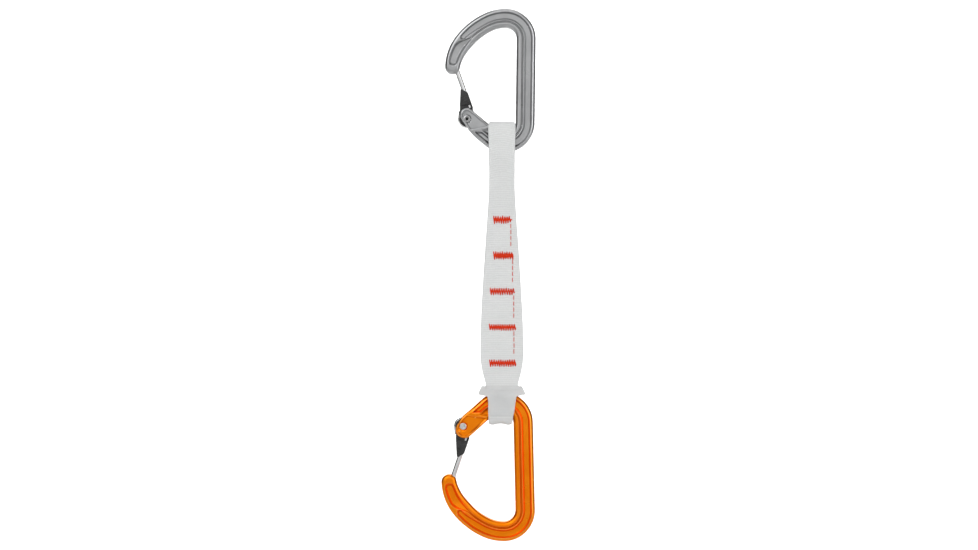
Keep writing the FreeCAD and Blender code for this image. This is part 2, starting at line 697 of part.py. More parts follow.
def sling():
    """The sewn sling in the four lengths between which it bends."""
    t, half = dim("webbing"), dim("upper_loop_half")
    bar, legs_end, body_end = dim("upper_bar_middle"), dim("legs_end"), dim("body_end")
    over = arch(half, t, dim("upper_loop_top"), bar, dim("loop_corner"))
    bend = common("sling_top_bend", side_solid("sling_top_bend", [over]), webbing_front("sling_top_bend"))
    legs = []
    for side in (1, -1):
        legs.append(polygon([
            (side * half, bar), (side * (half + t), bar), (side * (half + t), bar - 8),
            (side * (t + 0.05), legs_end), (side * 0.05, legs_end), (side * half, bar - 8),
        ]))
    upper = common("sling_upper_legs", side_solid("sling_upper_legs", legs),
                   webbing_front("sling_upper_legs"))
    sewn = polygon([(-t, legs_end), (t, legs_end), (t, body_end), (-t, body_end)])
    body = common("sling_body", side_solid("sling_body", [sewn]), webbing_front("sling_body"))
    low = dim("lower_loop_half")
    bar_top, foot = dim("lower_bar_top"), dim("lower_loop_bottom")
    turn = foot + low + t
    outside = Outline((-t, body_end), 0)
    outside.to(t, body_end).to(low + t, bar_top - 1).to(low + t, turn)
    outside.heading = 270
    outside.arc(low + t, -180)
    outside.to(-low - t, bar_top - 1).close()
    inside = Outline((0, body_end - 2.2), 0)
    inside.to(low, bar_top - 1).to(low, turn)
    inside.heading = 270
    inside.arc(low, -180)
    inside.to(-low, bar_top - 1).close()
    lower = common("sling_lower_loop", side_solid("sling_lower_loop", [outside, inside]),
                   webbing_front("sling_lower_loop"))
    return [bend, upper, body, lower]


def keeper():
    """Rubber keeper: a cup round the lower loop, with two wings at its top."""
    t, low, wall = dim("webbing"), dim("lower_loop_half") + dim("webbing"), dim("keeper_wall")
    top, bar_top = dim("keeper_top"), dim("lower_bar_top")
    foot = dim("lower_loop_bottom")
    turn = foot + low
    # the webbing's own flank at the keeper's top, so that the two meet face to face
    share = (dim("body_end") - top) / (dim("body_end") - bar_top + 1)
    neck = t + (low - t) * share
    outside = Outline((-neck - wall, top), 0)
    outside.to(neck + wall, top).to(low + wall, bar_top - 1.6).to(low + wall, turn)
    outside.heading = 270
    outside.arc(low + wall, -180)
    outside.to(-low - wall, bar_top - 1.6).close()
    inside = Outline((-neck, top + 1), 0)
    inside.to(neck, top + 1).to(neck, top).to(low, bar_top - 1).to(low, turn)
    inside.heading = 270
    inside.arc(low, -180)
    inside.to(-low, bar_top - 1).to(-neck, top).close()
    axis, end, wing = dim("sling_axis"), dim("sling_end_width") / 2, dim("keeper_wing")
    front = front_solid("keeper", mirrored([
        (wing - 3.6, top), (wing - 1.3, top - 1.6), (wing, top - 4.0), (wing - 3.2, top - 4.3),
        (end + 1.6, top - 4.2), (end + 0.7, -231.5), (dim("keeper_foot_width") / 2, foot - wall - 1)], axis))
    hollow = side_solid("keeper_inside", [inside], span=2 * dim("keeper_mouth"))
    hollow.Placement.Base = V(axis, 0, 0)
    blank = common("keeper_blank", side_solid("keeper_outside", [outside]), front)
    whole = DOC.addObject("Part::Cut", "keeper")
    whole.Base, whole.Tool = blank, hollow
    DOC.recompute()
    whole.Label = "keeper"
    return whole


def thread_pads(label, spans):
    """Thread on both faces of the webbing: each span is (x from, x to, z middle, height)."""
    rise, face = dim("tack_rise"), dim("webbing")
    pieces = []
    for n, (x0, x1, z, height) in enumerate(spans):
        for side in (-1, 1):
            pad_box = DOC.addObject("Part::Box", f"{label}_{n}_{'front' if side < 0 else 'back'}")
            pad_box.Length = x1 - x0
            bind(pad_box, "Width", "tack_rise")
            pad_box.Height = height
            y = face if side > 0 else -face - rise
            pad_box.Placement.Base = V(dim("sling_axis") + x0, y, z - height / 2)
            pieces.append(pad_box)
    group = DOC.addObject("Part::Compound", label)
    group.Links = pieces
    DOC.recompute()
    group.Label = label
    return group


def stitching():
    """Five bar tacks and the running stitch that joins their ends."""
    first, pitch, height = dim("tack_first"), dim("tack_pitch"), dim("tack_height")
    made = []
    for n, (x0, x1) in enumerate(TACK_SPANS):
        made.append(thread_pads(f"bar_tack_{n + 1}", [(x0, x1, first - n * pitch, height)]))
    runs = []
    for n, x in enumerate(STITCH_LINES):
        middle = first - (n + 0.5) * pitch
        runs.append((x - 0.3, x + 0.3, middle, pitch - height - 0.6))
    made.append(thread_pads("running_stitch", runs))
    return made


# ---------------------------------------------------------------- build and export

def check_and_export(nodes):
    """Stops on a failed object or a bad shape, then writes each sub-part."""
    DOC.recompute()
    for obj in DOC.Objects:
        if {"Invalid", "Error"} & set(obj.State):
            raise RuntimeError(f"{obj.Label} failed: {obj.State}")
    for node in nodes:
        if node.Shape.isNull() or not node.Shape.isValid() or not node.Shape.Solids:
            raise RuntimeError(f"{node.Label} has no valid solid")
    os.makedirs("parts", exist_ok=True)
    for node in nodes:
        node.Shape.exportStep(f"parts/{node.Label}.step")
        print(f"{node.Label}: {len(node.Shape.Solids)} solid, {node.Shape.Volume:.1f} mm3")


def main():
    upper = Carabiner("upper", FreeCAD.Placement())
    turned = FreeCAD.Rotation(V(0, 1, 0), dim("lower_tilt")).multiply(FreeCAD.Rotation(V(1, 0, 0), 180))
    hung = V(dim("lower_shift"), 0, -dim("lower_drop"))
    lower = Carabiner("lower", FreeCAD.Placement(hung, turned))
    nodes = upper.make() + lower.make() + sling() + [keeper()] + stitching()
    check_and_export(nodes)


main()
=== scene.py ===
import math
import random

import bmesh
import bpy
import numpy as np
from mathutils import Matrix, Vector


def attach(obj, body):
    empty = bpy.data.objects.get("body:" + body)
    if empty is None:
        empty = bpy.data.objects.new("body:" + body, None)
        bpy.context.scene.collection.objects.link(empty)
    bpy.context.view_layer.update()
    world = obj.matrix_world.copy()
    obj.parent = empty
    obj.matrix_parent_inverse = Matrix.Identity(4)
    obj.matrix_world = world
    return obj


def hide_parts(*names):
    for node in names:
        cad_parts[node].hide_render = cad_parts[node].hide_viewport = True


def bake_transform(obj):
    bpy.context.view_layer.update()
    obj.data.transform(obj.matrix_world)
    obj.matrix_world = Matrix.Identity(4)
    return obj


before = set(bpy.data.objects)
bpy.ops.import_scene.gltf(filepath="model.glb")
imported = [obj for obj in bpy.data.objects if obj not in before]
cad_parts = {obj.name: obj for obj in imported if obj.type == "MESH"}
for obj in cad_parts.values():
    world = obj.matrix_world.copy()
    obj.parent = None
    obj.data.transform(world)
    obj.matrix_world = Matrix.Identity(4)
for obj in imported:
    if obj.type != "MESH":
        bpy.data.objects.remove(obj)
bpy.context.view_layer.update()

MM = 0.001
AXIS = -2.3                             # X of the sling's middle, mm
WEBBING = 1.16                          # thickness of one layer of the sling, mm
RIB, RIB_PITCH = 0.11, 1.4              # height of a woven rib, and the step between two, mm

VIEW_MIDDLE = (-10.4, -155.5)           # X and Z that the camera looks straight at, mm
LENS = 92.3                             # mm
CAMERA_BACK = 0.618 * 92 / 36           # m; a 92 mm lens takes in a width of 0.618 m from here

# the floor runs back from its front edge and bends up into a wall, m
FLOOR_Z = -0.46
FLOOR_FRONT, FLOOR_SIDE = -3.0, 1.7
BEND_START, BEND_RADIUS, WALL_TOP = 2.0, 0.6, 3.0
AIM_Z = -0.155                          # height that every lamp points at, m

# name, place, size, power, and the Y that it points at
LAMPS = (
    ("key_box", (-0.75, -1.1, 0.75), (1.1, 0.9), 5.0, 0.0),
    ("fill_box", (1.1, -0.9, 0.1), (0.5, 1.2), 3.0, 0.0),
    ("top_box", (0.1, -0.1, 1.1), (0.8, 0.8), 2.5, 0.0),
    ("back_box", (0.0, 1.7, 1.3), (3.0, 0.8), 48, 2.4),
)
# axis, its sign, where along it the brightness starts and stops changing, and by how much
WORLD_BANDS = (
    ("Y", -1, 0.25, 0.75, 0.95),
    ("Y", -1, 0.84, 0.98, -0.08),
    ("Z", 1, 0.5, 1.0, 0.12),
    ("Y", 1, 0.3, 0.9, 0.25),
)
WORLD_FLOOR = 0.05                      # brightness where no band reaches


# ---------------------------------------------------------------- camera, light and floor

def set_camera():
    scene = bpy.context.scene
    camera = bpy.data.objects.new("camera", bpy.data.cameras.new("camera"))
    scene.collection.objects.link(camera)
    camera.data.lens = LENS
    camera.location = (VIEW_MIDDLE[0] * MM, -CAMERA_BACK, VIEW_MIDDLE[1] * MM)
    camera.rotation_euler = (math.pi / 2, 0, 0)
    scene.camera = camera
    scene.view_settings.view_transform = "Standard"


def set_floor():
    """A pale floor that curves up into a wall behind."""
    turn = np.linspace(0, math.pi / 2, 14)
    rows = [(FLOOR_FRONT, 0.0)]
    rows += [(BEND_START + BEND_RADIUS * math.sin(a), BEND_RADIUS - BEND_RADIUS * math.cos(a)) for a in turn]
    rows.append((BEND_START + BEND_RADIUS, WALL_TOP))
    vertices = [(x, y, FLOOR_Z + z) for y, z in rows for x in (-FLOOR_SIDE, FLOOR_SIDE)]
    faces = [(2 * i, 2 * i + 1, 2 * i + 3, 2 * i + 2) for i in range(len(rows) - 1)]
    floor = mesh_object("studio_floor", vertices, faces)
    floor.data.materials.append(floor_material())


def set_lamps():
    for name, place, size, power, aim_y in LAMPS:
        data = bpy.data.lights.new(name, "AREA")
        data.shape = "RECTANGLE"
        data.size, data.size_y = size
        data.energy = power
        lamp = bpy.data.objects.new(name, data)
        lamp.location = place
        aim = Vector((0, aim_y, AIM_Z)) - lamp.location
        lamp.rotation_euler = aim.to_track_quat("-Z", "Y").to_euler()
        bpy.context.scene.collection.objects.link(lamp)


def set_world():
    """Bright in front and darker at the sides, so that the metal's edges stand out."""
    world = bpy.data.worlds.new("studio")
    bpy.context.scene.world = world
    world.use_nodes = True
    nodes, links = world.node_tree.nodes, world.node_tree.links
    place = nodes.new("ShaderNodeTexCoord")
    split = nodes.new("ShaderNodeSeparateXYZ")
    links.new(place.outputs["Generated"], split.inputs[0])
    total = None
    for axis, sign, low, high, power in WORLD_BANDS:
        soft = nodes.new("ShaderNodeMapRange")
        soft.interpolation_type = "SMOOTHSTEP"
        soft.inputs["From Min"].default_value = sign * low
        soft.inputs["From Max"].default_value = sign * high
        soft.inputs["To Max"].default_value = power
        links.new(split.outputs[axis], soft.inputs["Value"])
        if total:
            both = nodes.new("ShaderNodeMath")
            links.new(total, both.inputs[0])
            links.new(soft.outputs[0], both.inputs[1])
            total = both.outputs[0]
        else:
            total = soft.outputs[0]
    lifted = nodes.new("ShaderNodeMath")
    lifted.inputs[1].default_value = WORLD_FLOOR
    links.new(total, lifted.inputs[0])
    links.new(lifted.outputs[0], nodes["Background"].inputs[0])


# ---------------------------------------------------------------- materials

class Shader:
    """A node material built round one Principled shader."""

    def __init__(self, name, **sockets):
        self.material = bpy.data.materials.new(name)
        self.material.use_nodes = True
        self.nodes = self.material.node_tree.nodes
        self.links = self.material.node_tree.links
        self.shader = self.nodes["Principled BSDF"]
        for socket, value in sockets.items():
            self.shader.inputs[socket.replace("_", " ")].default_value = value

    def coordinates(self, kind="Object", scale=(1, 1, 1)):
        place = self.nodes.new("ShaderNodeTexCoord")
        mapping = self.nodes.new("ShaderNodeMapping")
        mapping.inputs["Scale"].default_value = scale
        self.links.new(place.outputs[kind], mapping.inputs[0])
        return mapping.outputs[0]

    def noise(self, scale, detail=3, where=None):
        noise = self.nodes.new("ShaderNodeTexNoise")
        noise.inputs["Scale"].default_value = scale
        noise.inputs["Detail"].default_value = detail
        noise.inputs["Roughness"].default_value = 0.55
        self.links.new(where or self.coordinates(), noise.inputs["Vector"])
        return noise.outputs["Fac"]

    def wave(self, scale, where, direction, distortion):
        wave = self.nodes.new("ShaderNodeTexWave")
        wave.bands_direction = direction
        wave.inputs["Scale"].default_value = scale
        wave.inputs["Distortion"].default_value = distortion
        self.links.new(where, wave.inputs["Vector"])
        return wave.outputs["Fac"]

    def math(self, operation, a, b):
        node = self.nodes.new("ShaderNodeMath")
        node.operation = operation
        for i, value in enumerate((a, b)):
            if isinstance(value, (int, float)):
                node.inputs[i].default_value = value
            else:
                self.links.new(value, node.inputs[i])
        return node.outputs[0]

    def ramp(self, value, stops, socket=None):
        ramp = self.nodes.new("ShaderNodeValToRGB")
        while len(ramp.color_ramp.elements) < len(stops):
            ramp.color_ramp.elements.new(0.5)
        for element, (position, colour) in zip(ramp.color_ramp.elements, stops):
            element.position = position
            grey = isinstance(colour, (int, float))
            element.color = (colour, colour, colour, 1) if grey else (*colour, 1)
        self.links.new(value, ramp.inputs[0])
        if socket:
            self.links.new(ramp.outputs[0], self.shader.inputs[socket])
        return ramp.outputs[0]

    def mix(self, share, a, b, kind="MIX"):
        mix = self.nodes.new("ShaderNodeMixRGB")
        mix.blend_type = kind
        for i, value in enumerate((share, a, b)):
            if isinstance(value, (int, float)):
                mix.inputs[i].default_value = value
            elif isinstance(value, tuple):
                mix.inputs[i].default_value = (*value, 1)
            else:
                self.links.new(value, mix.inputs[i])
        return mix.outputs[0]

    def colour(self, value):
        self.links.new(value, self.shader.inputs["Base Color"])

    def bump(self, *layers):
        """Layers of (height, strength, distance in metres), the coarsest first."""
        below = None
        for height, strength, distance in layers:
            bump = self.nodes.new("ShaderNodeBump")
            bump.inputs["Strength"].default_value = strength
            bump.inputs["Distance"].default_value = distance
            self.links.new(height, bump.inputs["Height"])
            if below:
                self.links.new(below, bump.inputs["Normal"])
            below = bump.outputs[0]
        self.links.new(below, self.shader.inputs["Normal"])


def floor_material():
    made = Shader("pale_floor", Roughness=0.8)
    made.ramp(made.noise(3.0), [(0.3, 0.90), (0.7, 0.93)], "Base Color")
    return made.material


def forged_material(name, light, dark, worn_and_lit_edge, grain):
    """Tumbled forging: soft grain, cloudy tone, edges lighter for wear and painted highlight, and painted
    shade in the hollows.
    """
    made = Shader(name, Metallic=1.0)
    clouds = made.noise(90, 4)
    tone = made.ramp(clouds, [(0.32, dark), (0.68, light)])
    edge = made.nodes.new("ShaderNodeNewGeometry").outputs["Pointiness"]
    # edges lightened by pointiness: partly wear, partly painted highlight
    wear_and_highlight = made.ramp(made.math("ADD", edge, made.math("MULTIPLY", made.noise(700, 2), 0.03)),
                     [(0.53, 0.0), (0.58, 0.8)])
    # painted shade: the hollows and creases are darkened by pointiness
    corners = made.ramp(edge, [(0.42, 0.35), (0.49, 1.0)])
    made.colour(made.mix(1.0, made.mix(wear_and_highlight, tone, worn_and_lit_edge), corners, "MULTIPLY"))
    made.ramp(made.noise(240, 5), [(0.3, grain), (0.7, grain + 0.08)], "Roughness")
    scuffs = made.noise(420, 5, made.coordinates(scale=(1, 1, 0.22)))
    made.bump((scuffs, 0.05, 0.0001), (made.noise(2600, 2), 0.03, 0.00005))
    return made.material


def steel_material(name, tone, roughness, stretch):
    """Bright steel, slightly uneven; a stretch below 1 draws the grain out into lines along Z."""
    made = Shader(name, Metallic=1.0)
    drawn = made.noise(900, 3, made.coordinates(scale=(1, 1, stretch)))
    made.ramp(drawn, [(0.3, tone * 0.93), (0.7, tone)], "Base Color")
    made.ramp(made.noise(110, 3), [(0.3, roughness), (0.7, roughness + 0.05)], "Roughness")
    made.bump((drawn, 0.02, 0.00002))
    return made.material


def plastic_material():
    """Moulded black plastic with a spark-eroded grain."""
    made = Shader("black_plastic", Specular_IOR_Level=0.5)
    made.ramp(made.noise(260, 4), [(0.35, 0.011), (0.7, 0.030)], "Base Color")
    made.ramp(made.noise(800, 3), [(0.3, 0.34), (0.7, 0.52)], "Roughness")
    made.bump((made.noise(420, 3), 0.25, 0.0002), (made.noise(4200, 2), 0.3, 0.00007))
    return made.material


def webbing_material():
    """Flat-woven fibre: warp yarns across each rib, darker between them, with faint soiling."""
    made = Shader("white_webbing", Roughness=0.72, Sheen_Weight=0.25, Sheen_Roughness=0.45)
    cloth = made.coordinates("UV")
    warp = made.wave(0.42, made.coordinates("UV", (1000, 0, 0)), "X", 0.0)
    pick = made.wave(math.pi / 10 / RIB_PITCH, made.coordinates("UV", (0, 1000, 0)), "Y", 0.0)
    fibre = made.noise(2600, 4, made.coordinates("UV", (1, 0.16, 1)))
    soil = made.noise(48, 5, cloth)
    tone = made.ramp(soil, [(0.3, (0.79, 0.805, 0.80)), (0.7, (0.84, 0.85, 0.845))])
    lines = made.ramp(made.math("MULTIPLY", warp, pick), [(0.0, 0.9), (0.5, 1.0)])
    made.colour(made.mix(1.0, made.mix(0.85, tone, lines, "MULTIPLY"),
                         made.ramp(fibre, [(0.3, 0.93), (0.7, 1.0)]), "MULTIPLY"))
    made.bump((pick, 0.35, 0.00012), (warp, 0.5, 0.00010), (fibre, 0.4, 0.00007))
    return made.material


def thread_material():
    """Twisted polyester thread."""
    made = Shader("red_thread", Roughness=0.62, Specular_IOR_Level=0.25)
    twist = made.noise(2600, 3)
    made.ramp(twist, [(0.3, (0.60, 0.022, 0.002)), (0.7, (0.85, 0.052, 0.006))], "Base Color")
    made.bump((twist, 0.5, 0.00008))
    return made.material


def rubber_material():
    """Translucent moulded rubber: milky, a little cloudy, with fine ribs across it."""
    made = Shader("clear_rubber", Subsurface_Weight=0.75, Subsurface_Scale=0.003, IOR=1.42)
    made.shader.inputs["Subsurface Radius"].default_value = (1.0, 0.95, 0.9)
    made.ramp(made.noise(120, 5), [(0.3, (0.64, 0.648, 0.645)), (0.72, (0.70, 0.704, 0.70))], "Base Color")
    made.ramp(made.noise(300, 4), [(0.3, 0.34), (0.7, 0.5)], "Roughness")
    ribs = made.wave(330, made.coordinates(scale=(0.02, 0, 1)), "Z", 0.6)
    made.bump((made.noise(160, 3), 0.2, 0.0003), (ribs, 0.3, 0.00018), (made.noise(2600, 2), 0.15, 0.00005))
    return made.material


# ---------------------------------------------------------------- mesh helpers

def mesh_object(name, vertices, faces):
    data = bpy.data.meshes.new(name)
    data.from_pydata([tuple(v) for v in vertices], [], faces)
    data.update()
    made = bpy.data.objects.new(name, data)
    bpy.context.scene.collection.objects.link(made)
    return made


def smooth(obj, angle=35.0):
    """Smooth shading, sharp where two faces meet at more than the angle, with outward normals."""
    work = bmesh.new()
    work.from_mesh(obj.data)
    bmesh.ops.recalc_face_normals(work, faces=work.faces)
    for face in work.faces:
        face.smooth = True
    for edge in work.edges:
        edge.smooth = len(edge.link_faces) != 2 or edge.calc_face_angle(0) < math.radians(angle)
    work.to_mesh(obj.data)
    work.free()
    return obj


def skin(name, rings, uv=None):
    """A closed skin over rings of equal count, with the two ends filled."""
    count, around = len(rings), len(rings[0])
    faces = []
    for i in range(count - 1):
        for j in range(around):
            after = (j + 1) % around
            faces.append((i * around + j, i * around + after, (i + 1) * around + after, (i + 1) * around + j))
    faces.append(tuple(range(around))[::-1])
    faces.append(tuple((count - 1) * around + j for j in range(around)))
    made = mesh_object(name, np.asarray(rings, float).reshape(-1, 3), faces)
    if uv is not None:
        layer = made.data.uv_layers.new(name="cloth")
        flat = np.asarray(uv, float).reshape(-1, 2)
        corners = np.zeros(len(made.data.loops), int)
        made.data.loops.foreach_get("vertex_index", corners)
        layer.data.foreach_set("uv", flat[corners].astype(np.float32).ravel())
    return made


def tube(name, points, radius, sides):
    """A tube along points; radius is one number or one for each point."""
    points = np.asarray(points, float)
    radii = np.broadcast_to(np.asarray(radius, float), len(points))
    ways = np.gradient(points, axis=0)
    ways /= np.linalg.norm(ways, axis=1)[:, None]
    side = np.cross(ways[0], (0, 1, 0) if abs(ways[0][1]) < 0.9 else (1, 0, 0))
    turn = np.linspace(0, 2 * math.pi, sides, endpoint=False)
    rings = []
    for point, way, r in zip(points, ways, radii):
        side = side - way * (side @ way)
        side = side / np.linalg.norm(side)
        other = np.cross(way, side)
        rings.append(point + r * (np.outer(np.cos(turn), side) + np.outer(np.sin(turn), other)))
    return skin(name, rings)


def join(name, objects):
    """One mesh of several, made without operators."""
    work = bmesh.new()
    for obj in objects:
        work.from_mesh(obj.data)
        data = obj.data
        bpy.data.objects.remove(obj)
        bpy.data.meshes.remove(data)
    data = bpy.data.meshes.new(name)
    work.to_mesh(data)
    work.free()
    made = bpy.data.objects.new(name, data)
    bpy.context.scene.collection.objects.link(made)
    return made


def apply_modifiers(obj):
    bpy.context.view_layer.update()
    seen = obj.evaluated_get(bpy.context.evaluated_depsgraph_get())
    data = bpy.data.meshes.new_from_object(seen)
    obj.modifiers.clear()
    obj.data = data
    return obj


def prism(name, corners, low, high):
    """Corners are (x, z); the prism runs from y low to y high."""
    n = len(corners)
    vertices = [(x, y, z) for y in (low, high) for x, z in corners]
    faces = [tuple(range(n)), tuple(range(n, 2 * n))[::-1]]
    faces += [(i, n + i, n + (i + 1) % n, (i + 1) % n) for i in range(n)]
    return mesh_object(name, vertices, faces)


def carve(obj, cutters):
    """Cuts each cutter out of obj and deletes it."""
    for cutter in cutters:
        smooth(cutter)
        modifier = obj.modifiers.new("carve", "BOOLEAN")
        modifier.operation = "DIFFERENCE"
        modifier.solver = "EXACT"
        modifier.object = cutter
        apply_modifiers(obj)
        bpy.data.objects.remove(cutter)
    return obj


def ease(x):
    """Smooth step from 0 at 0 to 1 at 1."""
    x = np.clip(x, 0, 1)
    return x * x * (3 - 2 * x)


def dress(obj, material, body, stands_for, place=None):
    """Gives a piece its place and material, hides the CAD nodes it stands for, and gives it a body to ride if
    one is named.
    """
    if place is not None:
        obj.data.transform(place)
    obj.data.materials.clear()
    obj.data.materials.append(material)
    if body:
        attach(obj, body)
    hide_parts(*stands_for)


# ---------------------------------------------------------------- carabiner

class Carabiner:
    """One carabiner, drawn in mm: the inside of its apex at the origin, spine at +X, arm below.

    Along the bar, length runs from the nose to the hinge end. Across it, distances start at the
    outside edge. On the arm, u and v start at the rivet, u along the arm and v outwards.
    """

    DEPTH = 12.0                    # the bar, from its outside edge to its inside edge
    HALF = 4.3                      # half the bar's thickness
    STEP = 0.45                     # between samples along the bar
    CORNER = -19                    # radius of the bend at each end of the spine; below 0 turns right
    NOSE_BENDS = [(31.6, 25), (48.7, 26), (33.5, 37)]   # radius and degrees, from apex to nose
    NOSE_THINNER = 2.6              # how much shallower the bar is at its nose
    GATE_LEAN = 19.3                # degrees
    ARM_REACH = 45                  # the bar's last stretch, whose relief is set out from the rivet
    # radius of the bar's edges, and how much less it is at the hinge
    EDGE_ROUND, EAR_SHARPER = 2.3, 1.3
    CHANNEL_DEPTH, CHANNEL_START = 1.9, 2.35
    CHANNEL_END = (24.2, 3.9, 1.6)  # along, across and radius of its round end at the nose
    GROOVE = (7.65, 8.75)           # where it starts and ends across the bar
    # where the scoop's round end starts along the bar, and its radius
    SCOOP_END, SCOOP_CORNER = 8.2, 3.0
    # width of the rim left round the hinge panel, and how deep the panel is sunk
    PANEL_RIM, PANEL_DEPTH = 1.35, 0.8
    RIVET_SEAT = 2.3                # radius of the flat round the rivet
    RIVET_RING = (2.45, 0.42, 0.5)  # radius, half width and depth of the line round that flat
    THINNEST = 0.25                 # least half thickness

    def __init__(self, prefix, place, size, spine, arm_angle, arm, offset, ear, ear_lead, flank):
        """The spine and arm are straight; offset is how far the rivet lies outside the bar's middle.

        The bar runs on past the arm by ear_lead. flank is the radius of the side that narrows
        towards the hinge end, and ear sets how far back from the end it starts.
        """
        self.prefix = prefix
        self.place = place @ Matrix.Scale(size * MM, 4)
        self.flank = flank
        moves = [(self.CORNER, 90.7), spine, (self.CORNER, 89.3 + arm_angle), arm + ear_lead]
        self.right = self.walk((0, self.DEPTH), 0, moves, -1)
        self.left = self.walk((0, self.DEPTH), 180, self.NOSE_BENDS, 1)
        end, inward, way = self.right[-1]
        self.arm_way, self.outward, self.arm_end = way, -inward, end
        self.pivot = end + inward * (self.DEPTH / 2 - offset) + way * (0.8 - ear_lead)
        self.flank_reach = math.sqrt((flank - ear) ** 2 - (flank - self.DEPTH + ear) ** 2)
        lean = math.radians(self.GATE_LEAN)
        self.along = np.array((-math.sin(lean), math.cos(lean)))
        self.across = np.array((math.cos(lean), math.sin(lean)))

    def walk(self, start, heading, moves, side):
        """Samples of (outside point, inward direction, direction of travel), a step or so apart."""
        at, a = np.array(start, float), math.radians(heading)
        samples = []

        def note():
            inward = np.array((-math.sin(a), math.cos(a))) * side
            samples.append((at.copy(), inward, np.array((math.cos(a), math.sin(a)))))

        note()
        for move in moves:
            radius, turn = move if isinstance(move, tuple) else (None, None)
            length = abs(radius) * math.radians(turn) if radius else move
            count = max(2, round(length / self.STEP))
            for _ in range(count):
                bend = math.copysign(math.radians(turn) / count, radius) if radius else 0.0
                a += bend / 2
                chord = 2 * abs(radius) * math.sin(abs(bend) / 2) if radius else length / count
                at = at + np.array((math.cos(a), math.sin(a))) * chord
                a += bend / 2
                note()
        return samples

    def gate(self, across, along, y=0.0):
        p = self.pivot + self.across * across + self.along * along
        return np.array((p[0], y, p[1]))

    def stations(self):
        """From the nose to the hinge end: outside point, inward direction and depth of the bar."""
        left = [(p, n, -t) for p, n, t in self.left[::-1]]
        bar = left + self.right[1:]
        radius, turn = self.NOSE_BENDS[-1]
        taper = round(radius * math.radians(turn) / self.STEP)
        made = []
        for i, (p, n, t) in enumerate(bar):
            thin = max(0.0, 1 - i / taper)
            run = self.flank_reach + min(0.0, (p - self.arm_end) @ self.arm_way)
            brought_in = 0.0
            if i > len(bar) // 2 and run > 0:
                brought_in = self.flank - math.sqrt(self.flank ** 2 - run ** 2)
            made.append((p + n * brought_in, n, t, self.DEPTH - self.NOSE_THINNER * thin ** 1.3 - brought_in))
        return made

    def surface(self, length, across, depth, edge, point):
        """Half thickness of the bar: rounded edges less the channel, the groove and the hinge panel."""
        s = across * self.DEPTH / depth
        flat = point - self.pivot
        u, v = flat @ self.arm_way, flat @ self.outward
        on_arm = self.total - length < self.ARM_REACH
        # above 0 on the hinge's side of the slanting line where its panel starts
        panel_line = 0.76 * (u + 6.1) - 0.65 * (v - 3.3)
        # the edges are rounder along the bar than at the hinge
        soft = self.EDGE_ROUND - (self.EAR_SHARPER * float(ease((u + 13) / 8)) if on_arm else 0.0)
        near = min(edge / (soft + 0.1), 1.0)
        height = self.HALF - soft * (1 - math.sqrt(max(0.0, 1 - (1 - near) ** 2)))
        height -= self.channel(length, s, u, v, on_arm)
        height -= self.groove(length, s, u, panel_line, on_arm)
        if on_arm:
            from_rivet = math.hypot(u, v)
            inside = max(min(edge - self.PANEL_RIM, panel_line), self.RIVET_SEAT - from_rivet)
            height -= self.PANEL_DEPTH * ease((inside + 0.35) / 0.8)
            radius, half_width, deep = self.RIVET_RING
            height -= deep * ease(1 - abs(from_rivet - radius) / half_width)
        return max(height, self.THINNEST)

    def channel(self, length, s, u, v, on_arm):
        """Depth of the channel, which has a round end at the nose and a slanted one on the arm."""
        inner_wall = 5.4 + 1.3 * ease((length - 23.5) / 13)
        if on_arm:
            inner_wall = min(inner_wall, 5.1 + 1.6 * float(ease((-17 - u) / 9)))
        end, middle, radius = self.CHANNEL_END
        if length < end:
            inside = radius - math.hypot(end - length, s - middle)
        else:
            inside = min(s - self.CHANNEL_START, inner_wall - s)
        if on_arm:
            inside = min(inside, -0.635 * (u + 9.0) + 0.773 * (v - 3.4))
        return self.CHANNEL_DEPTH * ease((inside + 0.55) / 1.25)

    def groove(self, length, s, u, panel_line, on_arm):
        """Depth of the groove along the inside, wider where it is a scoop at the nose and a saddle
        on the arm."""
        start, end = self.GROOVE
        scoop = float(ease((28.5 - length) / 11.5))
        low, high = start - 5.45 * scoop, end + 0.8 * scoop
        deep, wall = 0.95 + 1.1 * scoop, 0.6 + 1.5 * scoop
        if on_arm:
            wide = float(ease((u + 27) / 10))
            low, high = start - 1.95 * wide, end + 1.6 * wide
            deep, wall = 0.95 + 0.2 * wide, 0.6 + 1.3 * wide
        inside = min(s - low, high - s)
        if length < self.SCOOP_END:
            corner = self.SCOOP_CORNER
            inside = corner - math.hypot(self.SCOOP_END - length, max(0.0, corner - inside))
        if on_arm:
            inside = min(inside, -panel_line - 1.1)
        return deep * ease((inside + 0.25) / wall)

    def ring(self, origin, inward, depth, length, edge_of):
        """One ring of the bar's skin, front from the outside edge to the inside edge and back again."""
        front = []
        for share in self.shares:
            across = share * depth
            point = origin + inward * across
            h = self.surface(length, across, depth, edge_of(across), point)
            front.append((point, h))
        ring = [(p[0], -h, p[1]) for p, h in front]
        ring += [(p[0], h, p[1]) for p, h in front[::-1]]
        return ring

    def forging(self):
        """The frame: a skin over rings along the bar, then the fork, and the nose slot cut out."""
        # samples across the bar, closer together towards its two edges
        edge = 2.2 * (1 - np.cos(np.linspace(0, math.pi / 2, 9))) / self.DEPTH
        face = np.linspace(edge[-1], 1 - edge[-1], 44)[1:-1]
        self.shares = np.concatenate((edge, face, 1 - edge[::-1]))
        bar = self.stations()
        middle = [p + n * d / 2 for p, n, _, d in bar]
        steps = [np.linalg.norm(b - a) for a, b in zip(middle, middle[1:])]
        lengths = np.concatenate(([0], np.cumsum(steps)))
        r0, r1 = bar[0][3] / 2, bar[-1][3] / 2
        self.total = lengths[-1] + r0 + r1
        rings = []

        def cap(index, radius, direction, turns):
            p, n, t, _ = bar[index]
            for turn in turns:
                out, half = radius * math.sin(turn), radius * math.cos(turn)
                centre = p + n * radius + t * direction * out
                length = r0 - out if index == 0 else self.total - r1 + out
                origin = centre - n * half

                def edge_of(across, half=half, out=out):
                    return radius - math.hypot(across - half, out)

                rings.append(self.ring(origin, n, 2 * half, length, edge_of))

